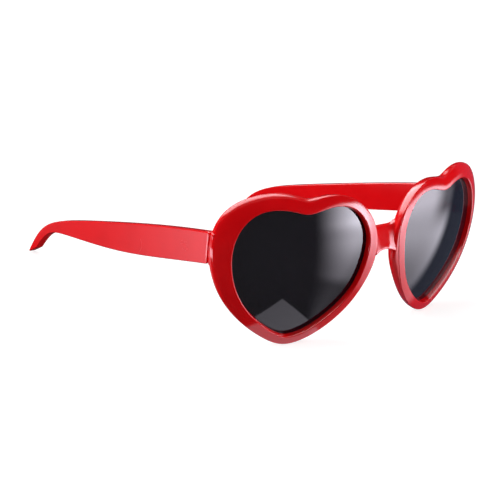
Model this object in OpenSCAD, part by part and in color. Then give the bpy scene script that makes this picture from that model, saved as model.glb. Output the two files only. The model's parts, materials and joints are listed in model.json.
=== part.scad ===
// Heart shaped sunglasses, standing on the points of the hearts and the ends of the temples.
// X runs across the face with the wearer's left at +X, Y runs from the front to the ears, Z is up.
// The origin is on the ground, below the middle of the whole.
// The left half is modelled and the right half is its mirror image.

/* [Hearts] */
// Distance between the middles of the two hearts
heart_pitch = 77.8; // [74:0.2:80]
// Width of the lens opening in a heart
opening_w = 56; // [50:1:60]
// Height of the lens opening in a heart
opening_h = 50; // [44:1:54]
// Width of the rim where it is widest, above the hinge
rim_w = 8.2; // [7:0.1:9]
// Depth of the rim beside the lens, from its face to its back
rim_depth = 4.7; // [4.5:0.1:5.2]
// Depth of the rim's back at its outer edge, beside the hinge
rim_outer_depth = 3.3; // [3.3:0.1:4.2]
// Fall of the rim's domed face towards its outer edge where the rim is widest
rim_fall = 1.7; // [1:0.1:1.8]
// Rounding of the rim's outer front edge where the rim is widest
rim_corner = 1.4; // [0.8:0.1:1.5]
// Rounding of the rim's back edges
rim_back_corner = 0.4; // [0.2:0.1:0.4]
// Break of the rim's inner front edge
rim_edge = 0.3; // [0.1:0.05:0.5]

/* [Curve of the front] */
// Radius of the front's curve from side to side
wrap_r = 161; // [140:1:200]
// Radius of the front's curve from top to bottom
crown_r = 108; // [100:1:160]
// Height of the foremost line of the front above the lowest point of the openings
crown_z = 31.3; // [24:1:36]

/* [Lens] */
// Thickness of a lens
lens_t = 1.6; // [1.4:0.1:1.8]
// Depth of the lens behind the face of the rim
lens_recess = 2.2; // [1.8:0.1:2.3]
// Reach of the groove into the rim
groove_reach = 0.8; // [0.6:0.05:1]
// Play of the lens in its groove
lens_play = 0.05; // [0.02:0.01:0.1]

/* [Bridge and nose pads] */
// Height of the bridge
bridge_h = 10.8; // [8:0.2:12]
// Height of the bridge's top edge above the lowest point of the openings
bridge_top = 39.2; // [37:0.2:42]
// Depth of the bridge
bridge_t = 3; // [2.6:0.1:3.4]
// Set-back of the bridge behind the faces of the rims
bridge_recess = 1.2; // [0.8:0.1:1.4]
// Rise of the arch under the bridge
bridge_arch = 1.8; // [1:0.1:2.4]
// Swell of a nose pad from the side of the rim
pad_swell = 2.6; // [1.6:0.1:3]
// Reach of a nose pad behind the back of the rim
pad_reach = 1.2; // [0.6:0.1:1.6]

/* [Temples] */
// Length of a temple from the hinge pin to its end
temple_len = 124.5; // [115:0.5:140]
// Thickness of a temple
temple_t = 3.4; // [3:0.1:4]
// Height of a temple at the hinge
temple_h = 12.2; // [10.5:0.1:13]
// Lean of an open temple towards the head, in degrees
temple_lean = 6; // [3:0.5:8]
// Gap between a temple and the front
temple_gap = 0.3; // [0.2:0.05:0.4]

/* [Hinges] */
// Height of the hinges' middle above the lowest point of the openings
hinge_z = 35.8; // [34:0.1:38]
// Height of one outer knuckle
knuckle_h = 2.4; // [2:0.1:3]
// Radius of the knuckles
knuckle_r = 1.4; // [1.2:0.05:1.6]
// Side play between two knuckles
knuckle_play = 0.06; // [0.04:0.01:0.1]
// Play between the knuckles and the plastic beside them
hinge_play = 0.12; // [0.1:0.01:0.2]
// Radius of the hinge pin screw
pin_r = 0.7; // [0.6:0.02:0.8]
// Play of the temple's knuckle on the pin, at the radius
pin_play = 0.05; // [0.02:0.01:0.08]
// Fit of the front's knuckles on the pin, at the radius
pin_fit = 0.02; // [0.01:0.005:0.04]
// Radius of the screw's head
screw_head_r = 1.15; // [1:0.05:1.3]
// Height of the screw's head
screw_head_h = 0.6; // [0.5:0.05:0.8]
// Width of the driver slot in the screw
slot_w = 0.35; // [0.25:0.05:0.45]
// Width of the foot that is sunk into the front
foot_w = 2.4; // [2:0.1:2.8]
// Depth of the foot in the front
foot_depth = 1.6; // [1.2:0.1:1.8]
// Thickness of the leaf on the temple
leaf_t = 0.8; // [0.6:0.05:1]
// Height of the leaf on the temple
leaf_h = 6; // [5:0.2:7]
// Length of the leaf from the hinge pin
leaf_len = 11; // [9:0.5:13]
// Radius of a rivet's shank
rivet_r = 0.5; // [0.4:0.05:0.6]
// Radius of a rivet's head
rivet_head_r = 0.95; // [0.8:0.05:1.1]
// Height of a rivet's head
rivet_head_h = 0.3; // [0.2:0.05:0.35]
// Length of a rivet's shank in the temple
rivet_len = 1.6; // [1.2:0.1:2]

/* [Hidden] */
$fn = 48;

frame_red = [0.78, 0.05, 0.07];
lens_black = [0.10, 0.10, 0.12];
hinge_steel = [0.72, 0.72, 0.74];

// Steps round a heart, and rings in a lens
heart_steps = 96;
lens_rings = 5;
// Steps along one edge of a temple
temple_steps = 30;
// Angles at which the rounding of the rim's outer front edge and the round of its side have a point
corner_turns = [45, 90];
side_turns = [45, 90, 135, 180];
// Overrun of every cut
cut = 1;

// The lens opening as control points of a closed spline, from the cleft towards the hinge and round.
// Shares: x of half the opening's width, z of its height, rim width of the widest rim,
// the rim's outer depth of that beside the hinge, and the nose pad's swell of its full swell.
heart_shares = [
    [-0.03, 0.935, 0.71, 1.1, 0], [0.17, 0.98, 0.73, 1, 0], [0.41, 1.00, 0.76, 1, 0],
    [0.66, 0.99, 0.72, 1, 0], [0.895, 0.895, 1.04, 1, 0], [1.02, 0.73, 0.97, 1, 0],
    [0.995, 0.53, 0.79, 1, 0], [0.86, 0.345, 0.64, 1, 0], [0.61, 0.18, 0.52, 1, 0],
    [0.29, 0.05, 0.47, 1, 0], [0.025, -0.03, 0.40, 1, 0], [-0.295, 0.035, 0.46, 1, 0],
    [-0.61, 0.165, 0.49, 1.1, 0], [-0.89, 0.33, 0.42, 1.2, 0.1], [-1.015, 0.555, 0.46, 1.25, 1.2],
    [-1.05, 0.75, 0.49, 1.25, 0.3], [-0.88, 0.915, 0.45, 1.25, 0], [-0.65, 0.99, 0.45, 1.25, 0],
    [-0.36, 1.00, 0.58, 1.2, 0]
];

// A temple's upper and lower edges as control points of open splines, from the hinge to the ear.
// Shares: the first of the temple's length, the second of the hinge's height above the ground.
temple_top_shares = [
    [-0.03, 1.17], [0.18, 1.035], [0.42, 0.85], [0.68, 0.635], [0.83, 0.50],
    [0.91, 0.37], [0.96, 0.205], [1.00, 0.00]
];
temple_low_shares = [
    [-0.03, 0.87], [0.18, 0.715], [0.42, 0.54], [0.66, 0.44], [0.79, 0.395],
    [0.865, 0.35], [0.915, 0.22], [0.95, 0.09]
];

// The rivets' places along the hinge's leaf on the temple
rivet_shares = [0.42, 0.8];

// A point and a slope of a closed spline at t, where rows are its control points
function closed_row(rows, i) = rows[(i + len(rows)) % len(rows)];
function closed_point(rows, t) =
    let (i = floor(t), f = t - i)
    ((1 - f) ^ 3 * closed_row(rows, i - 1)
        + (3 * f ^ 3 - 6 * f ^ 2 + 4) * closed_row(rows, i)
        + (-3 * f ^ 3 + 3 * f ^ 2 + 3 * f + 1) * closed_row(rows, i + 1)
        + f ^ 3 * closed_row(rows, i + 2)) / 6;
function closed_slope(rows, t) =
    let (i = floor(t), f = t - i)
    (-(1 - f) ^ 2 * closed_row(rows, i - 1)
        + (3 * f ^ 2 - 4 * f) * closed_row(rows, i)
        + (-3 * f ^ 2 + 2 * f + 1) * closed_row(rows, i + 1)
        + f ^ 2 * closed_row(rows, i + 2)) / 2;

// A point of an open spline, with t from 0 at its first control point to 1 at its last
function open_row(rows, i) = rows[max(0, min(len(rows) - 1, i))];
function open_point(rows, t) =
    let (s = t * (len(rows) + 1) - 1, i = min(floor(s), len(rows) - 1), f = s - i)
    ((1 - f) ^ 3 * open_row(rows, i - 1)
        + (3 * f ^ 3 - 6 * f ^ 2 + 4) * open_row(rows, i)
        + (-3 * f ^ 3 + 3 * f ^ 2 + 3 * f + 1) * open_row(rows, i + 1)
        + f ^ 3 * open_row(rows, i + 2)) / 6;

// The face of the front is one doubly curved surface, and depth is measured square to it
function face_y(x, z) = x ^ 2 / (2 * wrap_r) + (z - crown_z) ^ 2 / (2 * crown_r);
function face_normal(x, z) =
    let (n = [-x / wrap_r, 1, -(z - crown_z) / crown_r])
    n / norm(n);
function face_point(x, z, depth) = [x, face_y(x, z), z] + depth * face_normal(x, z);

// The opening's edge in the left heart, its outward direction and the rim's width at t
function opening_edge(t) =
    let (p = closed_point(heart_shares, t))
    [heart_pitch / 2 + p[0] * opening_w / 2, p[1] * opening_h];
function opening_out(t) =
    let (s = closed_slope(heart_shares, t), n = [-s[1] * opening_h, s[0] * opening_w / 2])
    n / norm(n);
function rim_width(t) = closed_point(heart_shares, t)[2] * rim_w;
function rim_back(t) = closed_point(heart_shares, t)[3] * rim_outer_depth;
function rim_swell(t) = closed_point(heart_shares, t)[4];
function heart_point(t, out, depth) =
    let (p = opening_edge(t) + out * opening_out(t))
    face_point(p[0], p[1], depth);
function heart_t(i) = len(heart_shares) * i / heart_steps;

// The face of a wide rim is domed, and that of the narrowest is flat
narrow_share = min([for (s = heart_shares) s[2]]);
function face_fall(w, out) = rim_fall * (w / rim_w - narrow_share) / (1 - narrow_share) * (out / w) ^ 2;

// The rim's section as distance out from the opening and depth behind the face, with the nose pad as
// a swell of its side
groove_front = lens_recess - lens_play;
groove_back = lens_recess + lens_t + lens_play;
function rim_section(w, back, swell) = let (
    corner = rim_corner * w / rim_w,
    flat = w - corner,
    side_front = face_fall(w, flat) + corner,
    rear = back + swell * pad_reach,
    side_depth = rear - rim_back_corner - side_front
) [
    [0, rim_edge],
    [rim_edge, 0],
    [w / 2, face_fall(w, w / 2)],
    [flat, face_fall(w, flat)],
    for (a = corner_turns) [flat + corner * sin(a), face_fall(w, flat) + corner * (1 - cos(a))],
    for (a = side_turns) [w + swell * pad_swell * sin(a), side_front + side_depth * (1 - cos(a)) / 2],
    [w - rim_back_corner, rear],
    [rim_back_corner, rim_depth],
    [0, rim_depth - rim_back_corner],
    [0, groove_back],
    [groove_reach, groove_back],
    [groove_reach, groove_front],
    [0, groove_front]
];
section_points = len(rim_section(rim_w, rim_outer_depth, 0));
rim_points = [
    for (i = [0 : heart_steps - 1])
        let (t = heart_t(i))
        for (s = rim_section(rim_width(t), rim_back(t), rim_swell(t))) heart_point(t, s[0], s[1])
];

// Places that the rest is worked out from
rim_low = min([for (p = rim_points) p[2]]);
rim_front = min([for (p = rim_points) p[1]]);
rim_side = max([for (i = [0 : heart_steps - 1]) (heart_point(heart_t(i), rim_width(heart_t(i)), 0))[0]]);
seat_corner = face_point(rim_side, hinge_z, rim_outer_depth);
seat_x = seat_corner[0];
seat_y = seat_corner[1];
hinge_x = seat_x - temple_t - knuckle_r - hinge_play;
hinge_y = seat_y + knuckle_r + hinge_play;
hinge_h = 3 * knuckle_h + 2 * knuckle_play;
temple_inner = knuckle_r + hinge_play;
temple_outer = temple_inner + temple_t;
temple_end_y = hinge_y + temple_len * cos(temple_lean) + temple_outer * sin(temple_lean);
middle_y = (rim_front + temple_end_y) / 2;

echo(hinge = [hinge_x, hinge_y - middle_y, hinge_z - rim_low], ground = rim_low, middle_y = middle_y);
echo(size = [2 * rim_side, temple_end_y - rim_front], seat = [seat_x, seat_y - middle_y]);

// Stands a piece on the ground, with the origin below the middle of the whole
module standing() {
    translate([0, -middle_y, -rim_low]) children();
}

// A piece of the left half, or its mirror image for the right half
module on_side(side) {
    standing() {
        if (side == "left") children();
        else mirror([1, 0, 0]) children();
    }
}

module at_hinge() {
    translate([hinge_x, hinge_y, hinge_z]) children();
}

// The open temple leans in about the hinge pin
module at_temple() {
    at_hinge() rotate([0, 0, temple_lean]) children();
}

// One heart's rim: its section carried round the opening
module heart_rim() {
    n = section_points;
    faces = [
        for (i = [0 : heart_steps - 1])
            for (j = [0 : n - 1])
                let (
                    a = i * n + j,
                    b = i * n + (j + 1) % n,
                    c = ((i + 1) % heart_steps) * n + (j + 1) % n,
                    d = ((i + 1) % heart_steps) * n + j
                )
                for (f = [[a, b, c], [a, c, d]]) f
    ];
    polyhedron(points = rim_points, faces = faces, convexity = 6);
}

// The flat seat behind the rim that the temple and the hinge close on
module hinge_seat() {
    seat_w = temple_outer + foot_w / 2;
    seat_depth = foot_depth + hinge_play + rim_back_corner;
    translate([seat_x - seat_w, seat_y - seat_depth, hinge_z - temple_h / 2])
        cube([seat_w, seat_depth, temple_h]);
}

// The band between the hearts, set back from their faces, with an arch below, short of the lens grooves
module bridge() {
    opening_x = min([for (i = [0 : heart_steps - 1]) (opening_edge(heart_t(i)))[0]]);
    reach = opening_x - groove_reach - rim_edge;
    span = heart_pitch - opening_w - 2 * rim_w * narrow_share;
    arch_r = (span ^ 2 / 4 + bridge_arch ^ 2) / (2 * bridge_arch);
    translate([0, bridge_recess + bridge_t, bridge_top]) rotate([90, 0, 0])
        linear_extrude(bridge_t) difference() {
            translate([-reach, -bridge_h]) square([2 * reach, bridge_h]);
            translate([0, -bridge_h - arch_r + bridge_arch]) circle(r = arch_r, $fn = 4 * heart_steps);
        }
}

// The sunk foot of the front's hinge leaf, which is also the shape of its pocket
module hinge_foot(over) {
    translate([-foot_w / 2, seat_y - foot_depth - hinge_y, -hinge_h / 2])
        cube([foot_w, foot_depth + over, hinge_h]);
}

module front_frame() {
    color(frame_red) standing() difference() {
        union() {
            for (side = [0, 1]) mirror([side, 0, 0]) {
                heart_rim();
                hinge_seat();
            }
            bridge();
        }
        for (side = [0, 1]) mirror([side, 0, 0]) at_hinge() hinge_foot(cut);
    }
}

// A lens: two surfaces that follow the front's curve, with its edge in the groove
module lens() {
    edge_out = groove_reach - lens_play;
    middle = [heart_pitch / 2, crown_z];
    edge = [for (i = [0 : heart_steps - 1]) opening_edge(heart_t(i)) + edge_out * opening_out(heart_t(i))];
    depths = [lens_recess, lens_recess + lens_t];
    points = [
        for (depth = depths) face_point(middle[0], middle[1], depth),
        for (depth = depths)
            for (k = [1 : lens_rings])
                for (e = edge)
                    let (p = middle + (e - middle) * k / lens_rings)
                    face_point(p[0], p[1], depth)
    ];
    // Number of the point at step i of ring k, on the front face (0) or the back face (1)
    function at(side, k, i) = 2 + (side * lens_rings + k) * heart_steps + i % heart_steps;
    function turned(side, f) = side == 1 ? f : [f[0], f[2], f[1]];
    faces = [
        for (side = [0, 1], i = [0 : heart_steps - 1])
            turned(side, [side, at(side, 0, i + 1), at(side, 0, i)]),
        for (side = [0, 1], k = [0 : lens_rings - 2], i = [0 : heart_steps - 1])
            for (f = [
                [at(side, k, i), at(side, k, i + 1), at(side, k + 1, i + 1)],
                [at(side, k, i), at(side, k + 1, i + 1), at(side, k + 1, i)]
            ]) turned(side, f),
        for (i = [0 : heart_steps - 1], rim = [lens_rings - 1])
            for (f = [
                [at(0, rim, i), at(1, rim, i + 1), at(0, rim, i + 1)],
                [at(0, rim, i), at(1, rim, i), at(1, rim, i + 1)]
            ]) f
    ];
    color(lens_black) polyhedron(points = points, faces = faces, convexity = 4);
}

// The temple seen from the side, with its length along X and its height above the ground along Y
module temple_outline() {
    height = hinge_z - rim_low;
    function edge(rows) = [
        for (i = [0 : temple_steps])
            let (p = open_point(rows, i / temple_steps))
            [p[0] * temple_len, p[1] * height]
    ];
    low = edge(temple_low_shares);
    polygon(concat(edge(temple_top_shares), [for (i = [temple_steps : -1 : 0]) low[i]]));
}

module temple() {
    color(frame_red) difference() {
        at_temple()
            translate([temple_inner, 0, rim_low - hinge_z])
                rotate([90, 0, 90]) linear_extrude(temple_t) temple_outline();
        translate([0, 0, hinge_z - temple_h])
            cube([seat_x + temple_len, seat_y + temple_gap, 2 * temple_h]);
        at_temple() {
            leaf_plate(hinge_play, cut);
            leaf_holes(rivet_r + pin_fit, temple_inner + rivet_len);
        }
    }
}

// The flat leaf on the temple, let into it by half its thickness, grown by some play
module leaf_plate(play, lift) {
    start = knuckle_r + hinge_play;
    let_in = leaf_t / 2;
    translate([temple_inner + let_in - leaf_t - lift, start - play, -leaf_h / 2 - play])
        cube([leaf_t + lift, leaf_len - start + 2 * play, leaf_h + 2 * play]);
}

// A round bar at each rivet's place, from the hinge pin's plane outwards
module leaf_holes(r, depth) {
    for (share = rivet_shares)
        translate([0, leaf_len * share, 0]) rotate([0, 90, 0]) cylinder(r = r, h = depth);
}

// A bored knuckle from height z up, with the neck that is given as its child
module knuckle(z, bore) {
    difference() {
        union() {
            translate([0, 0, z]) cylinder(r = knuckle_r, h = knuckle_h);
            children();
        }
        translate([0, 0, z - cut]) cylinder(r = bore, h = knuckle_h + 2 * cut);
    }
}

// The front's leaf: a foot sunk in the seat and two knuckles on necks
module front_hinge_leaf() {
    color(hinge_steel) at_hinge() {
        hinge_foot(0);
        for (z = [-hinge_h / 2, hinge_h / 2 - knuckle_h]) knuckle(z, pin_r + pin_fit)
            translate([-foot_w / 2, seat_y - hinge_y, z]) cube([foot_w, hinge_y - seat_y, knuckle_h]);
    }
}

// The temple's leaf: a plate let into the temple, and the middle knuckle on a neck beside the plastic
module temple_hinge_leaf() {
    color(hinge_steel) at_temple() {
        knuckle(-knuckle_h / 2, pin_r + pin_play)
            translate([knuckle_r - leaf_t, 0, -knuckle_h / 2])
                cube([leaf_t, temple_inner + leaf_t, knuckle_h]);
        difference() {
            leaf_plate(0, 0);
            leaf_holes(rivet_r + pin_fit, temple_outer);
        }
    }
}

// The hinge pin is a screw with a slotted head on top
module hinge_screw() {
    color(hinge_steel) at_hinge() difference() {
        union() {
            translate([0, 0, -hinge_h / 2]) cylinder(r = pin_r, h = hinge_h);
            translate([0, 0, hinge_h / 2]) cylinder(r = screw_head_r, h = screw_head_h);
        }
        translate([-screw_head_r - cut, -slot_w / 2, hinge_h / 2 + screw_head_h / 2])
            cube([2 * (screw_head_r + cut), slot_w, screw_head_h]);
    }
}

// Two rivets hold the leaf to the temple
module temple_leaf_rivets() {
    head_x = temple_inner - leaf_t / 2;
    color(hinge_steel) at_temple() {
        intersection() {
            leaf_holes(rivet_r, temple_inner + rivet_len);
            translate([head_x - rivet_head_h, 0, -leaf_h / 2]) cube([temple_outer, leaf_len, leaf_h]);
        }
        intersection() {
            leaf_holes(rivet_head_r, head_x);
            translate([head_x - rivet_head_h, 0, -leaf_h / 2]) cube([rivet_head_h, leaf_len, leaf_h]);
        }
    }
}

front_frame();
on_side("left") lens();  // left_lens
on_side("right") lens();  // right_lens
on_side("left") temple();  // left_temple
on_side("right") temple();  // right_temple
on_side("left") front_hinge_leaf();  // left_front_hinge_leaf
on_side("right") front_hinge_leaf();  // right_front_hinge_leaf
on_side("left") temple_hinge_leaf();  // left_temple_hinge_leaf
on_side("right") temple_hinge_leaf();  // right_temple_hinge_leaf
on_side("left") hinge_screw();  // left_hinge_screw
on_side("right") hinge_screw();  // right_hinge_screw
on_side("left") temple_leaf_rivets();  // left_temple_leaf_rivets
on_side("right") temple_leaf_rivets();  // right_temple_leaf_rivets
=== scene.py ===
# Heart shaped sunglasses with red moulded rims, dark wrapped lenses and folding temples.
# Lengths are in millimetres until a mesh is made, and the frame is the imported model's own.
import json
import math
import bpy
import numpy as np
from mathutils import Matrix, Vector


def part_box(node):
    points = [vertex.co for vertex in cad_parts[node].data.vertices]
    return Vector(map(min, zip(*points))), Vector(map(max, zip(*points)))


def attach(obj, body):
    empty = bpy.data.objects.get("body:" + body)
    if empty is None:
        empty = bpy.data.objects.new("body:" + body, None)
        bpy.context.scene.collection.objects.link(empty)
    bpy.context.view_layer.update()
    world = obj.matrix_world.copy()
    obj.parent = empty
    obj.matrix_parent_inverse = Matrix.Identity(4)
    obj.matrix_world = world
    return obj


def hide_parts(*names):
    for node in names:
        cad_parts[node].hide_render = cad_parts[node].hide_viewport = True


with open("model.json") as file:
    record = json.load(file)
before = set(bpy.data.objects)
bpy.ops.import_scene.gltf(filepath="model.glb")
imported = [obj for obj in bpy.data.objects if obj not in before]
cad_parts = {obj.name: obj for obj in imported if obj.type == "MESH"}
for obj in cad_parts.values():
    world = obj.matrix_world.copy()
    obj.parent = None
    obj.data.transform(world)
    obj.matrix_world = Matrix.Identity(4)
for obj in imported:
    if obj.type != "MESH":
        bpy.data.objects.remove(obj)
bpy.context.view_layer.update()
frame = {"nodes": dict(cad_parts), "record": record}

# The photograph's view: a long lens, level with the temples' height and a little above,
# from the wearer's right, turned by a few degrees about its own axis.
view_azimuth, view_elevation, view_roll = math.radians(-44.418), math.radians(17.384), math.radians(5.119)
view_target = Vector((-72.414, -73.186, 44.780)) / 1000
view_distance = 0.513897
view_back = Vector((math.sin(view_azimuth) * math.cos(view_elevation),
                    -math.cos(view_azimuth) * math.cos(view_elevation), math.sin(view_elevation)))
level_right = Vector((math.cos(view_azimuth), math.sin(view_azimuth), 0))
level_up = view_back.cross(level_right)
view_right = level_right * math.cos(view_roll) + level_up * math.sin(view_roll)
view_up = view_back.cross(view_right)
camera = bpy.data.objects.new("camera", bpy.data.cameras.new("camera"))
camera.data.lens = 108
camera.data.sensor_width = 36
camera.data.clip_start = 0.01
camera.matrix_world = Matrix.Translation(view_target + view_distance * view_back) @ Matrix(
    (view_right, view_up, view_back)).transposed().to_4x4()
bpy.context.collection.objects.link(camera)
bpy.context.scene.camera = camera
bpy.context.scene.view_settings.view_transform = "Standard"

# The table: a wide sheet of matt white card, on which the glasses stand on the points of
# their hearts and the ends of their temples.


class Wire:
    """A socket of a material. Sums and products with numbers or other sockets add Math nodes."""

    def __init__(self, tree, socket=None):
        self.tree = tree
        self.socket = socket

    def node(self, kind, inputs=(), out=0, **settings):
        """Adds a node of a type, with its settings and the values or links of its sockets."""
        made = self.tree.nodes.new(kind)
        for name, value in settings.items():
            setattr(made, name, value)
        for key, value in (inputs.items() if isinstance(inputs, dict) else enumerate(inputs)):
            if isinstance(value, Wire):
                self.tree.links.new(value.socket, made.inputs[key])
            else:
                made.inputs[key].default_value = value
        return Wire(self.tree, made.outputs[out])

    def maths(self, operation, *values):
        return self.node("ShaderNodeMath", values, operation=operation)

    def __add__(self, other):
        return self.maths("ADD", self, other)

    def __sub__(self, other):
        return self.maths("SUBTRACT", self, other)

    def __mul__(self, other):
        return self.maths("MULTIPLY", self, other)

    def __pow__(self, other):
        return self.maths("POWER", self, other)

    def __rsub__(self, other):
        return self.maths("SUBTRACT", other, self)

    __radd__ = __add__
    __rmul__ = __mul__

    def rise(self, low, high):
        """Goes smoothly from 0 at low to 1 at high."""
        return self.node("ShaderNodeMapRange", {0: self, 1: low, 2: high, 3: 0.0, 4: 1.0},
                         interpolation_type="SMOOTHSTEP")

    def band(self, low, full, fade, high):
        """Goes smoothly from 0 at low to 1 at full, and from 1 at fade back to 0 at high."""
        return self.rise(low, full) * (1 - self.rise(fade, high))

    def parts(self):
        """The x, y and z of a place, in millimetres."""
        return [self.node("ShaderNodeSeparateXYZ", [self], out=k) * 1000 for k in range(3)]

    def between(self, first, second):
        """A colour that is the first at 0 and the second at 1."""
        return self.node("ShaderNodeMix", {0: self, 6: (*first, 1.0), 7: (*second, 1.0)}, out=2,
                         data_type="RGBA")

    def lighting(self, colour):
        """The colour, as bright as this value says."""
        return self.node("ShaderNodeVectorMath", {0: colour, "Scale": self}, operation="SCALE")

    def into(self, socket):
        self.tree.links.new(self.socket, socket)


def finish_of(name):
    """A new material: it, a wire for adding nodes, and its shader."""
    made = bpy.data.materials.new(name)
    made.use_nodes = True
    return made, Wire(made.node_tree), made.node_tree.nodes["Principled BSDF"]


def linear(*levels):
    """A colour as a screen shows it, from 0 to 255, as the light that a shader takes."""
    return tuple(((c / 255 + 0.055) / 1.055) ** 2.4 if c > 10 else c / 255 / 12.92 for c in levels)


def flat_sheet(name, low, high, height, material):
    """A rectangle at one height, from two corners in millimetres: the corner points go round it."""
    mesh = bpy.data.meshes.new(name)
    corners = np.array([(low[0], low[1]), (high[0], low[1]), (high[0], high[1]), (low[0], high[1])])
    mesh.from_pydata((np.column_stack([corners, np.full(4, height)]) / 1000).tolist(), [], [(0, 1, 2, 3)])
    mesh.materials.append(material)
    return bpy.data.objects.new(name, mesh)


card, card_wire, card_shader = finish_of("white_card")
card_place = card_wire.node("ShaderNodeTexCoord", out=3)
card_fibre = card_wire.node("ShaderNodeTexNoise", {"Vector": card_place, "Scale": 900.0, "Detail": 4.0})
card_fibre.between((0.43, 0.43, 0.43), (0.47, 0.47, 0.47)).into(card_shader.inputs["Base Color"])
card_shader.inputs["Roughness"].default_value = 0.9
card_shader.inputs["Specular IOR Level"].default_value = 0.1

# The card is lit to a pale grey, and what the camera and reflections see of it is lifted to white
card_seen = card_wire.node("ShaderNodeLightPath", out="Is Camera Ray")
card_seen = card_seen + card_wire.node("ShaderNodeLightPath", out="Is Glossy Ray")
card_seen = card_seen + card_wire.node("ShaderNodeLightPath", out="Is Transmission Ray")
card_far = card_wire.node("ShaderNodeVectorMath", [card_place], out=1, operation="LENGTH")
card_lift = 0.75 + 0.35 * card_far.rise(0.3, 0.8)
card_lift = card_lift * card_seen.maths("MINIMUM", card_seen, 1.0)
card_lift.lighting((1, 1, 1)).into(card_shader.inputs["Emission Color"])
card_shader.inputs["Emission Strength"].default_value = 1.0

table_half = 6000
table = flat_sheet("table", (-table_half, -table_half), (table_half, table_half), 0, card)
bpy.context.collection.objects.link(table)

# The studio: softboxes overhead, on the left behind, at the front and on the right, and dark screens
# and lit panels around the table, which only the reflections see.


def softbox(name, place, aim, width, height, radiance):
    """A soft lamp whose surface has a plain radiance: its power is the radiance times its area times pi."""
    lamp = bpy.data.lights.new(name, "AREA")
    lamp.shape = "RECTANGLE"
    lamp.size, lamp.size_y = width / 1000, height / 1000
    lamp.energy = radiance * math.pi * lamp.size * lamp.size_y
    held = bpy.data.objects.new(name, lamp)
    turned = (Vector(place) - Vector(aim)).to_track_quat("Z", "Y")
    held.matrix_world = Matrix.Translation(Vector(place) / 1000) @ turned.to_matrix().to_4x4()
    bpy.context.collection.objects.link(held)
    held.visible_glossy = False


def unseen_by_the_camera(held):
    """Leaves an object of the studio to the reflections alone."""
    bpy.context.collection.objects.link(held)
    for ray in ("camera", "diffuse", "shadow", "transmission", "volume_scatter"):
        setattr(held, "visible_" + ray, False)


def glow_of(name):
    """A new material that only glows: it, a wire for adding nodes, and the x, y and z of its places."""
    made, wire, shader = finish_of(name)
    made.node_tree.nodes.remove(shader)
    return made, wire, *wire.node("ShaderNodeTexCoord", out=3).parts()


def glow_with(wire, light):
    """Ends a glowing material with its light."""
    wire.node("ShaderNodeEmission", {"Color": light, "Strength": 1.0}).into(
        wire.tree.nodes["Material Output"].inputs["Surface"])


softbox("top_softbox", (0, 100, 1000), (0, 0, 20), 700, 700, 2.6)
softbox("left_softbox", (-860, 380, 430), (-60, 0, 25), 720, 680, 5.6)
softbox("front_softbox", (-190, -640, 760), (-30, -60, 35), 340, 260, 3.5)
softbox("right_softbox", (720, -600, 80), (0, -60, 35), 450, 450, 13.0)

world = bpy.data.worlds.new("studio")
world.use_nodes = True
bpy.context.scene.world = world
world_wire = Wire(world.node_tree)
seen = world_wire.node("ShaderNodeLightPath", out="Is Camera Ray")
seen = seen + world_wire.node("ShaderNodeLightPath", out="Is Transmission Ray")
mirrored_ray = world_wire.node("ShaderNodeLightPath", out="Is Glossy Ray")
room_fill = 0.12
room_light = room_fill + seen.maths("MINIMUM", seen, 1.0) * (1 - room_fill) + mirrored_ray * 0.3
room_light.lighting((1, 1, 1)).into(world.node_tree.nodes["Background"].inputs["Color"])
world.node_tree.nodes["Background"].inputs["Strength"].default_value = 1.0

# A wide panel with soft edges hangs above and behind
ceiling_glow, ceiling_wire, ceiling_x, ceiling_y, _ = glow_of("ceiling_glow")
ceiling_light = 8.4 * ceiling_x.band(-1000.0, -560.0, 400.0, 820.0)
ceiling_light = ceiling_light * ceiling_y.band(-780.0, -300.0, 1100.0, 1600.0)
glow_with(ceiling_wire, ceiling_light.lighting((0.97, 0.95, 1.0)))
unseen_by_the_camera(flat_sheet("ceiling_panel", (1100, -900), (-1100, 1700), 900, ceiling_glow))


def grid_faces(rows, columns, close_rows=True):
    """Quads of a grid of rings whose point at row r and column c has the number r times columns + c."""
    r, c = np.meshgrid(np.arange(rows if close_rows else rows - 1), np.arange(columns), indexing="ij")
    r, c = r.ravel(), c.ravel()
    r2, c2 = (r + 1) % rows, (c + 1) % columns
    return np.stack([r * columns + c, r * columns + c2, r2 * columns + c2, r2 * columns + c], 1)


def fan_faces(pole, count):
    """Triangles from a pole's point to a closed ring, whose points have the numbers up to count."""
    step = np.arange(count)
    return np.stack([np.full(count, pole), step, (step + 1) % count], 1)


def turn_and_reach(x, y):
    """The direction in degrees and the distance of a place from the point where x and y are 0."""
    return x.maths("ARCTAN2", y, x) * (180 / math.pi), (x * x + y * y) ** 0.5


def past_edge(x, y, degrees):
    """How far a place is, in one direction, past the point where x and y are 0."""
    return x * math.cos(math.radians(degrees)) + y * math.sin(math.radians(degrees))


# The screen is one surface of revolution: a ring's distance out and height are a row of its profile.
# It is flat just above the table out to its foot, and then straight up.
screen_lift, screen_foot, screen_wall, screen_top, screen_turns = 0.3, 700, 752, 460, 96
screen_profile = np.array([(60, screen_lift), (200, screen_lift), (450, screen_lift),
                           (screen_foot, screen_lift), (740, 12), (screen_wall, 60),
                           (screen_wall, screen_top)])
turn = np.arange(screen_turns) * 2 * math.pi / screen_turns
ring = screen_profile[:, 0, None]
screen_points = np.stack([ring * np.cos(turn), ring * np.sin(turn),
                          np.repeat(screen_profile[:, 1:], screen_turns, 1)], 2).reshape(-1, 3)
screen_faces = grid_faces(len(screen_profile), screen_turns, close_rows=False).tolist()
screen_faces += fan_faces(len(screen_points), screen_turns).tolist()
screen_points = np.vstack([screen_points, [[0, 0, screen_lift]]])
screen_mesh = bpy.data.meshes.new("reflected_screen")
screen_mesh.from_pydata((screen_points / 1000).tolist(), [], screen_faces)
unseen_by_the_camera(bpy.data.objects.new("reflected_screen", screen_mesh))

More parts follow.
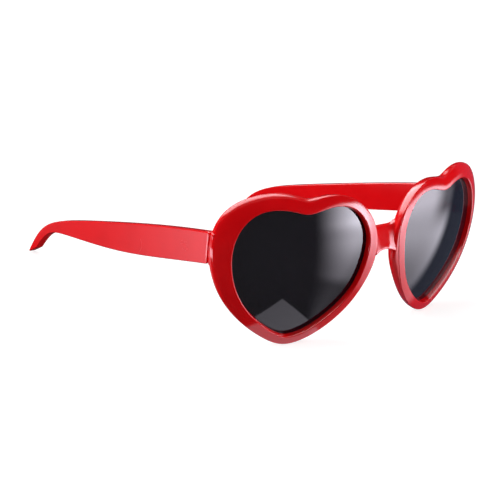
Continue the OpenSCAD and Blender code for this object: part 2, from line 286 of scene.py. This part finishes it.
glow, glow_wire, glow_x, glow_y, glow_z = glow_of("screen_glow")
# The lit panel fills a sector about a point below the near heart, and is taller at its left end. Its
# angles are in degrees, from +X towards +Y, and its light grows with the distance from that point.
panel_turn, panel_reach = turn_and_reach(glow_x + 30, glow_y + 64)
panel_top = glow_z - 75.0 * (1 - panel_turn.rise(-53.0, -41.0)) - 14.0 * panel_turn.rise(-31.0, -26.0)
panel_mask = panel_turn.band(-70.0, -48.0, -8.0, -3.5) * (1 - panel_top.rise(5.0, 40.0))
panel_light = 0.5 + 1.7 * panel_reach.rise(46.0, 66.0) + 6.8 * panel_reach.rise(45.0, 190.0)
far_light = 4.8 + 4.5 * (1 - panel_turn.rise(-50.0, -42.0))
panel_light = panel_light + far_light * panel_reach.rise(180.0, 420.0)
panel_light = panel_light * (1 - 0.45 * panel_turn.rise(-52.0, -36.0))
panel_light = panel_light * (1 - 0.3 * panel_turn.rise(-30.0, -10.0))
panel_light = panel_light * (1 - 0.85 * panel_turn.rise(-17.0, -8.0) * panel_reach.rise(170.0, 300.0))
# Two edges of a lit patch on the table meet in front of the near heart
patch_light = 1.3 * past_edge(glow_x + 36, glow_y + 90, 41.15).rise(-0.6, 0.8)
patch_light = patch_light * past_edge(glow_x + 33.5, glow_y + 88.5, 151.5).rise(-0.6, 0.8)
patch_light = patch_light * (1 - glow_y.rise(-60.0, -40.0))
# The table is paler beside the near hinge than beside the ear
side_reach = glow_x * -1 - 0.5 * (glow_y - 60)
side_light = 0.2 + 3.0 * side_reach.rise(75.0, 230.0) * (1 - 0.6 * side_reach.rise(170.0, 215.0))
side_light = side_light * glow_y.rise(-45.0, -15.0) * (1 - glow_x.rise(-80.0, -60.0))
side_light = side_light * (1 - glow_z.rise(2.0, 10.0))
# A bright card lies on the table out beside the near hinge
card_turn, card_reach = turn_and_reach((glow_x + 73) * -1, glow_y + 50)
card_light = 10.0 * card_turn.band(-34.0, -26.0, 16.0, 30.0) * card_reach.band(85.0, 105.0, 200.0, 240.0)
# The far wall behind the right temple is pale
back_light = 0.6 * panel_turn.band(50.0, 85.0, 98.0, 116.0) * panel_reach.rise(350.0, 700.0)
back_light = back_light * (1 - 0.75 * glow_z.rise(40.0, 160.0))
# The rest is nearly black, and a dim blue beside the lit panel
dark_light = 0.03
dim_light = 0.12 * panel_turn.band(-12.0, -5.0, 15.0, 35.0)
white_light = 1.08 * (dark_light + panel_light * panel_mask + patch_light + side_light + card_light
                      + back_light)
white_glow, dim_glow = white_light.lighting((0.92, 0.88, 1.0)), dim_light.lighting((0.38, 0.58, 1.0))
glow_with(glow_wire, glow_wire.node("ShaderNodeVectorMath", [white_glow, dim_glow], operation="ADD"))
screen_mesh.materials.append(glow)

# The front: both heart shaped rims, the bridge, the nose pads and the hinge seats, moulded in one
# shot of glossy red plastic. A rim is a section, carried round the spline of the lens opening.
heart_pitch, opening_w, opening_h = 77.8, 56.0, 50.0
wrap_r, crown_r, crown_z = 161.0, 108.0, 31.3
rim_w, rim_depth, rim_outer_depth, rim_fall = 8.2, 4.7, 3.3, 1.7
rim_edge, rim_back_corner, groove_reach = 0.45, 0.4, 0.8
lens_t, lens_recess, lens_play = 1.6, 2.2, 0.05
# How far the nose pad swells out of the rim's side, and reaches back
pad_swell, pad_reach = 2.6, 1.2
# The outer rounding and the bulge of the side, where the rim is slim and where it is wide
corner_slim, corner_wide, corner_spread = 0.22, 1.67, 0.9
bulge_slim, bulge_wide = 0.22, 0.12
# The shares of rim_w between which each of them changes
corner_shares, spread_shares, bulge_shares = (0.50, 0.78), (0.50, 0.85), (0.48, 0.62)
# Each row: x of half the opening's width, z of its height, rim width, outer depth, swell of the pad
heart_shares = np.array([
    [-0.03, 0.935, 0.71, 1.1, 0], [0.17, 0.98, 0.73, 1, 0], [0.41, 1.00, 0.76, 1, 0],
    [0.66, 0.99, 0.72, 1, 0], [0.895, 0.895, 1.04, 1, 0], [1.02, 0.73, 0.97, 1, 0],
    [0.995, 0.53, 0.79, 1, 0], [0.86, 0.345, 0.64, 1, 0], [0.61, 0.18, 0.52, 1, 0],
    [0.29, 0.05, 0.47, 1, 0], [0.025, -0.03, 0.40, 1, 0], [-0.295, 0.035, 0.46, 1, 0],
    [-0.61, 0.165, 0.49, 1.1, 0], [-0.89, 0.33, 0.42, 1.2, 0.1], [-1.015, 0.555, 0.46, 1.25, 1.2],
    [-1.05, 0.75, 0.49, 1.25, 0.3], [-0.88, 0.915, 0.45, 1.25, 0], [-0.65, 0.99, 0.45, 1.25, 0],
    [-0.36, 1.00, 0.58, 1.2, 0]])
narrow_share = heart_shares[:, 2].min()


def closed_spline(rows, t):
    """Uniform cubic B-spline through the rows as control points, closed: point and slope at each t."""
    cell = np.floor(t).astype(int)
    f = (t - cell)[:, None]
    a, b, c, d = (rows[(cell + k) % len(rows)] for k in (-1, 0, 1, 2))
    point = ((1 - f) ** 3 * a + (3 * f ** 3 - 6 * f ** 2 + 4) * b + (-3 * f ** 3 + 3 * f ** 2 + 3 * f + 1) * c
             + f ** 3 * d) / 6
    slope = (-(1 - f) ** 2 * a + (3 * f ** 2 - 4 * f) * b + (-3 * f ** 2 + 2 * f + 1) * c + f ** 2 * d) / 2
    return point, slope


def face_point(x, z, depth):
    """A place at a depth square to the front's face.

    The face is a bowl: y = x squared over 2 wrap_r + (z - crown_z) squared over 2 crown_r.
    """
    y = x ** 2 / (2 * wrap_r) + (z - crown_z) ** 2 / (2 * crown_r)
    nx, ny, nz = -x / wrap_r, np.ones_like(x), -(z - crown_z) / crown_r
    size = np.sqrt(nx ** 2 + ny ** 2 + nz ** 2)
    return np.stack([x + depth * nx / size, y + depth * ny / size, z + depth * nz / size], -1)


def opening_at(t):
    """The opening's edge, its outward direction, and the rim's width, outer depth and pad share at each t."""
    point, slope = closed_spline(heart_shares, t)
    edge = np.stack([heart_pitch / 2 + point[:, 0] * opening_w / 2, point[:, 1] * opening_h], 1)
    out = np.stack([-slope[:, 1] * opening_h, slope[:, 0] * opening_w / 2], 1)
    out /= np.linalg.norm(out, axis=1)[:, None]
    return edge, out, point[:, 2] * rim_w, point[:, 3] * rim_outer_depth, point[:, 4]


def ramp(x, low, high):
    """Goes smoothly from 0 at low to 1 at high."""
    s = np.clip((x - low) / (high - low), 0, 1)
    return s * s * (3 - 2 * s)


def rim_section(w, back, swell):
    """The rim's section at every step: distance out and depth, as arrays of steps by points.

    It runs over the rounded inner edge, the domed face, whose fall grows with the square of the distance
    out, an arc tangent to it, the rounded side with the pad as a half ellipse, the back, and the lens groove.
    """
    w, back, swell = w[:, None], back[:, None], swell[:, None]
    share = w / rim_w
    fall = rim_fall * (share - narrow_share) / (1 - narrow_share)
    corner = corner_slim + (corner_wide - corner_slim) * ramp(share, *corner_shares)
    corner_out = corner * (1 + corner_spread * ramp(share, *spread_shares))
    bulge = bulge_slim + (bulge_wide - bulge_slim) * ramp(share, *bulge_shares)
    side_w = w - bulge
    # The arc's first angle has the slope of the dome where the two meet, which four rounds settle
    start = np.zeros_like(w)
    for _ in range(4):
        dome_end = side_w - corner_out * (1 - np.sin(start))
        start = np.arctan(corner_out / corner * 2 * fall * dome_end / w ** 2)
    turn = np.linspace(0, math.pi / 2, 7)[None]
    edge_out, edge_depth = rim_edge * (1 - np.cos(turn)) + 0 * w, rim_edge * (1 - np.sin(turn)) + 0 * w
    dome_end = side_w - corner_out * (1 - np.sin(start))
    dome_out = rim_edge + (dome_end - rim_edge) * np.linspace(0, 1, 18)[None, 1:]
    dome_depth = fall * (dome_out / w) ** 2
    arc = start + (math.pi / 2 - start) * np.linspace(0, 1, 13)[None, 1:]
    arc_out = dome_end + corner_out * (np.sin(arc) - np.sin(start))
    arc_depth = dome_depth[:, -1:] + corner * (np.cos(start) - np.cos(arc))
    rear = back + swell * pad_reach
    side = np.linspace(0, math.pi, 15)[None, 1:]
    side_out = arc_out[:, -1:] + (bulge + swell * pad_swell) * np.sin(side)
    side_depth = arc_depth[:, -1:] + (rear - rim_back_corner - arc_depth[:, -1:]) * (1 - np.cos(side)) / 2
    back_turn = np.linspace(0, math.pi / 2, 5)[None, 1:]
    back_out = side_w - rim_back_corner * (1 - np.cos(back_turn))
    back_depth = rear - rim_back_corner * (1 - np.sin(back_turn))
    along = np.linspace(0, 1, 6)[None, 1:]
    flat_out = (side_w - rim_back_corner) * (1 - along) + rim_back_corner * along
    flat_depth = rear * (1 - along) + rim_depth * along
    inner_out = rim_back_corner * (1 - np.sin(back_turn)) + 0 * w
    inner_depth = rim_depth - rim_back_corner * (1 - np.cos(back_turn)) + 0 * w
    groove_front, groove_back = lens_recess - lens_play, lens_recess + lens_t + lens_play
    groove = np.array([(0, groove_back), (groove_reach, groove_back), (groove_reach, groove_front),
                       (0, groove_front), (0, (groove_front + rim_edge) / 2)])
    groove_out, groove_depth = groove[None, :, 0] + 0 * w, groove[None, :, 1] + 0 * w
    out = np.hstack([edge_out, dome_out, arc_out, side_out, back_out, flat_out, inner_out, groove_out])
    depth = np.hstack([edge_depth, dome_depth, arc_depth, side_depth, back_depth, flat_depth, inner_depth,
                       groove_depth])
    return out, depth


rim_steps = 480
rim_t = np.arange(rim_steps) * len(heart_shares) / rim_steps
rim_edge_line, rim_out, rim_width, rim_back, rim_swell = opening_at(rim_t)
section_out, section_depth = rim_section(rim_width, rim_back, rim_swell)
rim_x = rim_edge_line[:, None, 0] + section_out * rim_out[:, None, 0]
rim_z = rim_edge_line[:, None, 1] + section_out * rim_out[:, None, 1]
rim_grid = face_point(rim_x, rim_z, section_depth)
# The hearts' lowest point goes to the table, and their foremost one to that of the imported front
shift = np.array([0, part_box("front_frame")[0][1] * 1000 - rim_grid[..., 1].min(), -rim_grid[..., 2].min()])
rim_grid = rim_grid + shift
# Edges that turn by more than this stay sharp
sharp_angle = math.radians(38)


def mesh_object(name, points, faces, material):
    """An object in metres from points in millimetres, smooth but for its sharp edges."""
    mesh = bpy.data.meshes.new(name)
    mesh.from_pydata((points.reshape(-1, 3) / 1000).tolist(), [], faces)
    mesh.update()
    mesh.polygons.foreach_set("use_smooth", np.ones(len(mesh.polygons), dtype=bool))
    mesh.set_sharp_from_angle(angle=sharp_angle)
    mesh.materials.append(material)
    made = bpy.data.objects.new(name, mesh)
    bpy.context.collection.objects.link(made)
    return made


def mirrored(points, faces, side):
    """The points and faces of a left piece, or those of its mirror image, whose faces are turned."""
    if side > 0:
        return points, faces
    return points * np.array([-1, 1, 1]), [face[::-1] for face in faces]


# Polished plastic: a deep red that is even all through, with faint flow lines and fine scuffs
red_plastic, red, red_shader = finish_of("polished_red_plastic")
red_place = red.node("ShaderNodeTexCoord", out=3)
red_flow = red.node("ShaderNodeTexNoise", {"Vector": red_place, "Scale": 45.0, "Detail": 3.0,
                                           "Roughness": 0.5})
red_grain = red.node("ShaderNodeTexNoise", {"Vector": red_place, "Scale": 2600.0, "Detail": 2.0})
red_cloud = red.node("ShaderNodeTexNoise", {"Vector": red_place, "Scale": 160.0, "Detail": 5.0,
                                            "Roughness": 0.65})
red_scratch_place = red.node("ShaderNodeMapping", {"Vector": red_place, "Rotation": (0.4, 0.2, 0.7),
                                                   "Scale": (260.0, 4200.0, 1500.0)})
red_scratch = red.node("ShaderNodeTexNoise", {"Vector": red_scratch_place, "Scale": 1.0, "Detail": 2.0})
scuffed = red_cloud.rise(0.56, 0.70) * red_scratch.rise(0.60, 0.72)
red_tone = red_flow.rise(0.35, 0.65).between(linear(226, 5, 13), linear(234, 9, 17))
red_tone.into(red_shader.inputs["Base Color"])
# The right temple has a small crescent left by the mould and a cloud of dull specks near its hinge
red_x, red_y, red_z = red_place.parts()
right_temple_only = 1 - red_x.rise(-56.0, -54.0)
crescent_y, crescent_z = red_y + 8.1, red_z - 28.0
crescent_reach = (crescent_y * crescent_y + crescent_z * crescent_z) ** 0.5
crescent = crescent_reach.band(3.1, 3.35, 3.5, 3.8) * (1 - red_y.rise(-10.7, -9.9)) * right_temple_only
speck_y, speck_z = (red_y + 38.9) * 0.7, red_z - 36.5
speck_reach = (speck_y * speck_y + speck_z * speck_z) ** 0.5
red_speck = red.node("ShaderNodeTexNoise", {"Vector": red_place, "Scale": 1500.0, "Detail": 1.0})
specks = (1 - speck_reach.rise(1.2, 2.8)) * red_speck.rise(0.56, 0.66) * right_temple_only
red_roughness = 0.09 + 0.05 * red_cloud + 0.16 * scuffed + 0.3 * specks + 0.2 * crescent
red_roughness.into(red_shader.inputs["Roughness"])
red_shader.inputs["IOR"].default_value = 1.5
red_height = red_flow * 0.6 + red_grain * 0.05 - scuffed * 0.2 + specks * 0.3 + crescent * 0.6
red.node("ShaderNodeBump", {"Strength": 0.12, "Distance": 0.00012, "Height": red_height}).into(
    red_shader.inputs["Normal"])

rim_faces = grid_faces(rim_steps, rim_grid.shape[1])[:, ::-1].tolist()
rim_objects = {}
for side_name, side in (("left", 1), ("right", -1)):
    points, faces = mirrored(rim_grid, rim_faces, side)
    rim_objects[side_name] = mesh_object(side_name + "_heart_rim", points, faces, red_plastic)
    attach(rim_objects[side_name], "front")

# The bridge: a flat band between the hearts, set back from their faces and leaning back a little,
# with an arch below. Its ends run into the rims, with which it is one moulding.
bridge_h, bridge_top, bridge_t, bridge_recess, bridge_arch = 10.8, 39.2, 3.0, 1.2, 1.8
# The slope of its lean and the share of its height that it turns about, and how much its top flares up
bridge_lean, bridge_pivot_share, bridge_flare = 0.26, 0.75, 4.0
# Where its face starts to come forward, the slope that this grows to, and how far its ends go in again
bridge_flat, bridge_turn, bridge_sink = 2.0, 0.16, 2.4
# The shares of the way to the rims from which its top flares up and its face goes in
flare_from, sink_from = 0.55, 0.75
# The powers of the rounded section above and below: a smaller one has sharper corners
bridge_top_power, bridge_low_power = 0.42, 0.15
# The heights between which the rims' sides face the nose
nose_low, nose_high = 22, 44


def bridge_grid(columns=61, turns=44):
    """A superellipse carried across: its top flares up towards the rims and its underside is an arc.

    Its face leans back, and comes forward to the rims by a slope that grows with the distance. At the rims
    it goes in behind their rounded edges.
    """
    reach = rim_edge_line[:, 0].min() - groove_reach - rim_edge
    x = np.linspace(-reach, reach, columns)
    side_x, side_z = (rim_edge_line + rim_width[:, None] * rim_out).T
    nose_side = (side_x < heart_pitch / 4) & (side_z > nose_low) & (side_z < nose_high)
    nose_side = nose_side.nonzero()[0][np.argsort(side_z[nose_side])]
    near_rim = np.abs(x) / side_x[nose_side].min()
    top = bridge_top + bridge_flare * np.clip(near_rim - flare_from, 0, 0.5) ** 2
    low = bridge_top - bridge_h + bridge_arch * np.clip(1 - near_rim ** 2, 0, 1)
    angle = np.linspace(0, 2 * math.pi, turns, endpoint=False)
    c, s = np.cos(angle), np.sin(angle)
    power = np.where(s > 0, bridge_top_power, bridge_low_power)
    back = np.sign(c) * np.abs(c) ** power * bridge_t / 2
    up = np.sign(s) * np.abs(s) ** power
    z = ((top + low) / 2)[:, None] + ((top - low) / 2)[:, None] * up
    near = np.abs(x)[:, None] / np.interp(z, side_z[nose_side], side_x[nose_side])
    off_middle = np.clip(np.abs(x) - bridge_flat, 0, None)
    forward = (bridge_turn * off_middle ** 2 / (off_middle + 1))[:, None] - 2 * np.clip(near - 1, 0, 0.2)
    behind_edge = bridge_sink * np.clip((near - sink_from) / (1 - sink_from), 0, 1)
    lean = bridge_lean * (z - bridge_top + bridge_pivot_share * bridge_h)
    depth = np.clip(bridge_recess + bridge_t / 2 + back + lean - forward, behind_edge, rim_depth + 0.1)
    y = (x ** 2 / (2 * wrap_r))[:, None] + depth
    return np.stack([np.repeat(x[:, None], turns, 1), y, z], -1) + shift


def tube_faces(rows, ring):
    """Quads of a closed ring of points carried over rows, and one face over each end."""
    ends = [list(range(ring))[::-1], [(rows - 1) * ring + i for i in range(ring)]]
    return grid_faces(rows, ring, close_rows=False).tolist() + ends


bridge_points = bridge_grid()
bridge = mesh_object("bridge", bridge_points, tube_faces(*bridge_points.shape[:2]), red_plastic)
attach(bridge, "front")

# The hinge seats: a block behind each rim, flush with its outer side and moulded with it, with
# rounded edges and a pocket for the foot of the hinge's leaf.
temple_t, temple_h, knuckle_r, hinge_play = 3.4, 12.2, 1.4, 0.12
foot_w, foot_depth, hinge_h = 2.4, 1.6, 7.32
seat_in_rim, seat_in_side, seat_edge_r = 0.42, 0.1, 0.8
# How far a cut goes over the foot, so that no faces coincide, and out of the pocket's mouth
pocket_cut, pocket_mouth = 0.01, 1
# The left hinge's pin, whose mirror image is the right one's
hinge_x, hinge_y, hinge_z = next(
    np.array(joint["pos_m"]) * 1000 for joint in frame["record"]["behaviour"]["joints"]
    if joint["child"] == "left_temple")


def carve(target, low, high, place=np.array):
    """Cuts a box out of a piece's mesh: it has two corners in millimetres and a way to put it in place."""
    corners = place([(x, y, z) for x in (low[0], high[0]) for y in (low[1], high[1])
                     for z in (low[2], high[2])])
    box = [(0, 1, 3, 2), (4, 6, 7, 5), (0, 4, 5, 1), (2, 3, 7, 6), (0, 2, 6, 4), (1, 5, 7, 3)]
    mesh = bpy.data.meshes.new("cutter")
    mesh.from_pydata((corners / 1000).tolist(), [], box)
    cutter = bpy.data.objects.new("cutter", mesh)
    bpy.context.collection.objects.link(cutter)
    cut = target.modifiers.new("pocket", "BOOLEAN")
    cut.operation, cut.object, cut.solver = "DIFFERENCE", cutter, "EXACT"
    bpy.context.view_layer.update()
    evaluated = target.evaluated_get(bpy.context.evaluated_depsgraph_get())
    carved = bpy.data.meshes.new_from_object(evaluated)
    target.modifiers.clear()
    old, target.data = target.data, carved
    carved.name = old.name
    bpy.data.meshes.remove(old)
    bpy.data.objects.remove(cutter)
    bpy.data.meshes.remove(mesh)
    carved.set_sharp_from_angle(angle=sharp_angle)


def corner_ring(steps):
    """The four rounded corners of a section, going round it: their signs and angle at each step."""
    corner = np.repeat(np.arange(4), steps)
    angle = np.tile(np.linspace(0, math.pi / 2, steps), 4) + corner * math.pi / 2
    return np.array([1, -1, -1, 1])[corner], np.array([1, 1, -1, -1])[corner], angle


def rounded_block(low, high, r, steps=8):
    """A box with round edges: a rounded rectangle, drawn in towards each end by a quarter circle."""
    low, high = np.array(low), np.array(high)
    middle, half = (low[:2] + high[:2]) / 2, (high[:2] - low[:2]) / 2
    sign_x, sign_y, angle = corner_ring(steps)
    ring = np.stack([sign_x * (half[0] - r) + r * np.cos(angle),
                     sign_y * (half[1] - r) + r * np.sin(angle)], 1)
    bend = np.linspace(0, math.pi / 2, steps)
    scale, height = 1 - r * (1 - np.sin(bend))[:, None] / half, r * (1 - np.cos(bend))
    scale = np.vstack([scale, scale[::-1]])
    height = np.concatenate([low[2] + height, high[2] - height[::-1]])
    return np.dstack([middle + ring * scale[:, None], np.repeat(height[:, None], len(ring), 1)])


seat_back = hinge_y - knuckle_r - hinge_play
seat_side = hinge_x + knuckle_r + hinge_play + temple_t
seat_front = seat_back - foot_depth - seat_in_rim
seat_grid = rounded_block((hinge_x - foot_w / 2, seat_front, hinge_z - temple_h / 2),
                          (seat_side - seat_in_side, seat_back, hinge_z + temple_h / 2), seat_edge_r)
pocket_half = hinge_h / 2 + pocket_cut
for side_name, side in (("left", 1), ("right", -1)):
    points, faces = mirrored(seat_grid, tube_faces(*seat_grid.shape[:2]), side)
    seat = mesh_object(side_name + "_hinge_seat", points, faces, red_plastic)
    foot_low, foot_high = sorted((side * (hinge_x - foot_w / 2), side * (hinge_x + foot_w / 2)))
    carve(seat, (foot_low - pocket_cut, seat_back - foot_depth - pocket_cut, hinge_z - pocket_half),
          (foot_high + pocket_cut, seat_back + pocket_mouth, hinge_z + pocket_half))
    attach(seat, "front")
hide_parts("front_frame")

# The lenses: near-black tinted plastic, bent like the front and snapped into the rims' grooves.
# They are polished on both faces and let a very little light through.
lens_material, tint, tint_shader = finish_of("tinted_lens")
tint_place = tint.node("ShaderNodeTexCoord", out=3)
tint_dust = tint.node("ShaderNodeTexNoise", {"Vector": tint_place, "Scale": 1400.0, "Detail": 3.0})
tint_smear = tint.node("ShaderNodeTexNoise", {"Vector": tint_place, "Scale": 38.0, "Detail": 4.0})
tint_smear.between((0.004, 0.0028, 0.0065), (0.006, 0.0048, 0.0105)).into(tint_shader.inputs["Base Color"])
tint_roughness = 0.02 + 0.05 * tint_smear.rise(0.45, 0.75) + 0.25 * tint_dust.rise(0.74, 0.80)
tint_roughness.into(tint_shader.inputs["Roughness"])
tint_shader.inputs["IOR"].default_value = 1.49
tint_shader.inputs["Alpha"].default_value = 0.92
tint.node("ShaderNodeBump", {"Strength": 0.05, "Distance": 0.0001, "Height": tint_smear}).into(
    tint_shader.inputs["Normal"])

lens_rings, lens_steps = 28, 288
lens_edge, lens_dir = opening_at(np.arange(lens_steps) * len(heart_shares) / lens_steps)[:2]
lens_edge = lens_edge + (groove_reach - lens_play) * lens_dir
lens_middle = np.array([heart_pitch / 2, crown_z])
ring_share = (np.arange(1, lens_rings + 1) / lens_rings)[:, None, None]
lens_flat = lens_middle + (lens_edge[None] - lens_middle) * ring_share
lens_layers = []
for depth in (lens_recess, lens_recess + lens_t):
    layer = face_point(lens_flat[..., 0], lens_flat[..., 1], depth).reshape(-1, 3)
    pole = face_point(lens_middle[:1], lens_middle[1:], depth)
    lens_layers.append(np.vstack([layer, pole]) + shift)
layer_size = len(lens_layers[0])
layer_quads = grid_faces(lens_rings, lens_steps, close_rows=False)
layer_fan = fan_faces(layer_size - 1, lens_steps)[:, ::-1]
outer = (lens_rings - 1) * lens_steps + np.arange(lens_steps)
after = np.roll(outer, -1)
wall = np.stack([outer, after, layer_size + after, layer_size + outer], 1)
lens_faces = [face for part in (layer_quads, layer_quads[:, ::-1] + layer_size, wall, layer_fan,
                                layer_fan[:, ::-1] + layer_size) for face in part.tolist()]
for side_name, side in (("left", 1), ("right", -1)):
    points, faces = mirrored(np.vstack(lens_layers), lens_faces, side)
    lens = mesh_object(side_name + "_tinted_lens", points, faces, lens_material)
    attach(lens, "front")
    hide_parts(side_name + "_lens")

# The temples: one flat red moulding each, straight from the hinge and bent down behind the ear,
# with rounded edges. The hinge's leaf is let into the inner face by half its thickness.
temple_len, temple_lean, temple_gap, temple_edge_r, temple_end_r = 124.5, math.radians(6), 0.3, 0.55, 0.8
# Its inner face is clear of the knuckles by the play, and over the turned length its hinge end goes
# from square to level with the front
temple_inner, temple_turn_len = knuckle_r + hinge_play, 14
leaf_t, leaf_h, leaf_len = 0.8, 6.0, 11.0
# Each row: a share of the length from the pin, and of the pin's height above the table
temple_top_shares = np.array([[-0.03, 1.17], [0.18, 1.035], [0.42, 0.85], [0.68, 0.635], [0.83, 0.50],
                              [0.91, 0.37], [0.96, 0.205], [1.00, 0.00]])
temple_low_shares = np.array([[-0.03, 0.87], [0.18, 0.715], [0.42, 0.54], [0.66, 0.44], [0.79, 0.395],
                              [0.865, 0.35], [0.915, 0.22], [0.95, 0.09]])


def open_spline(rows, t):
    """Uniform cubic B-spline with its first and last control points held, with t from 0 to 1."""
    s = t * (len(rows) + 1) - 1
    cell = np.minimum(np.floor(s).astype(int), len(rows) - 1)
    f = (s - cell)[:, None]
    a, b, c, d = (rows[np.clip(cell + k, 0, len(rows) - 1)] for k in (-1, 0, 1, 2))
    return ((1 - f) ** 3 * a + (3 * f ** 3 - 6 * f ** 2 + 4) * b + (-3 * f ** 3 + 3 * f ** 2 + 3 * f + 1) * c
            + f ** 3 * d) / 6


def temple_grid(columns=220, corner_steps=14, end_steps=9, end_share=0.012):
    """A rounded rectangle that spans the lower and upper edge splines, drawn in round at both ends.

    At a distance d from an end the inset is r - sqrt(r squared - (r - d) squared). The hinge end is slid
    to be level with the front, by a share that falls with the square of the distance to 0.
    """
    fine = np.linspace(0, 1, 4000)
    top, low = open_spline(temple_top_shares, fine), open_spline(temple_low_shares, fine)
    cut_at = (temple_gap - temple_inner) / math.cos(temple_lean)
    middle_reach = (top[:, 0] + low[:, 0]) / 2 * temple_len
    first = fine[np.argmax(middle_reach > cut_at - temple_inner * math.tan(temple_lean))]
    end = np.linspace(0, 1, end_steps) ** 2
    near_end = first + end_share * (1 - first)
    t = np.concatenate([first + (near_end - first) * end,
                        np.linspace(near_end, 1 - end_share, columns)[1:-1], 1 - end_share * end[::-1]])
    top = open_spline(temple_top_shares, t) * np.array([temple_len, hinge_z])
    low = open_spline(temple_low_shares, t) * np.array([temple_len, hinge_z])
    span = np.linalg.norm(top - low, axis=1)
    up = (top - low) / span[:, None]
    middle_line = (top + low) / 2
    travelled = np.concatenate([[0], np.cumsum(np.linalg.norm(np.diff(middle_line, axis=0), axis=1))])
    into_end = np.clip(temple_end_r - np.minimum(travelled, travelled[-1] - travelled), 0, temple_end_r)
    inset = temple_end_r - np.sqrt(temple_end_r ** 2 - into_end ** 2)
    half_t, half_h = temple_t / 2 - inset, span / 2 - inset
    r = np.minimum(temple_edge_r, half_t * 0.9)
    sign_x, sign_h, angle = corner_ring(corner_steps)
    x = temple_inner + temple_t / 2 + sign_x * (half_t - r)[:, None] + np.cos(angle) * r[:, None]
    h = sign_h * (half_h - r)[:, None] + np.sin(angle) * r[:, None]
    y = middle_line[:, :1] + up[:, :1] * h
    z = middle_line[:, 1:] + up[:, 1:] * h
    slide = np.clip(1 - (y - y[0].min()) / temple_turn_len, 0, 1) ** 2
    return np.stack([x, y + slide * (cut_at - x * math.tan(temple_lean) - y[:1]), z], -1)


def temple_turned(side):
    """How points of a temple's own frame, outwards, along and up from the table, get to its hinge."""
    c, s = math.cos(temple_lean), math.sin(temple_lean)

    def place(points):
        outward, along, height = np.moveaxis(np.asarray(points), -1, 0)
        x, y = hinge_x + outward * c - along * s, hinge_y + outward * s + along * c
        return np.stack([side * x, y, height], -1)
    return place


temple_points = temple_grid()
temple_faces = tube_faces(*temple_points.shape[:2])
for side_name, side in (("left", 1), ("right", -1)):
    place = temple_turned(side)
    faces = temple_faces if side > 0 else [face[::-1] for face in temple_faces]
    temple = mesh_object(side_name + "_moulded_temple", place(temple_points), faces, red_plastic)
    carve(temple, (temple_inner - pocket_mouth, knuckle_r, hinge_z - leaf_h / 2 - hinge_play),
          (temple_inner + leaf_t / 2, leaf_len + hinge_play, hinge_z + leaf_h / 2 + hinge_play), place)
    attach(temple, side_name + "_temple")
    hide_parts(side_name + "_temple")

# The hinges: pressed and plated steel leaves with rolled knuckles, a slotted screw as the pin and
# rivets through the leaf. Their solids stay as they are.
steel_material, steel, steel_shader = finish_of("plated_steel")
steel_place = steel.node("ShaderNodeTexCoord", out=3)
steel_lines = steel.node("ShaderNodeMapping", {"Vector": steel_place, "Scale": (900.0, 900.0, 9000.0)})
steel_brush = steel.node("ShaderNodeTexNoise", {"Vector": steel_lines, "Scale": 1.0, "Detail": 3.0})
steel_spots = steel.node("ShaderNodeTexNoise", {"Vector": steel_place, "Scale": 700.0, "Detail": 4.0})
steel_tone = steel_spots.rise(0.4, 0.7).between((0.60, 0.60, 0.62), (0.46, 0.46, 0.47))
steel_tone.into(steel_shader.inputs["Base Color"])
steel_shader.inputs["Metallic"].default_value = 1.0
(0.22 + 0.2 * steel_brush + 0.1 * steel_spots).into(steel_shader.inputs["Roughness"])
steel.node("ShaderNodeBump", {"Strength": 0.25, "Distance": 0.00004, "Height": steel_brush}).into(
    steel_shader.inputs["Normal"])
for side_name in ("left", "right"):
    for part in ("front_hinge_leaf", "temple_hinge_leaf", "hinge_screw", "temple_leaf_rivets"):
        solid = frame["nodes"][side_name + "_" + part]
        solid.data.materials.clear()
        solid.data.materials.append(steel_material)
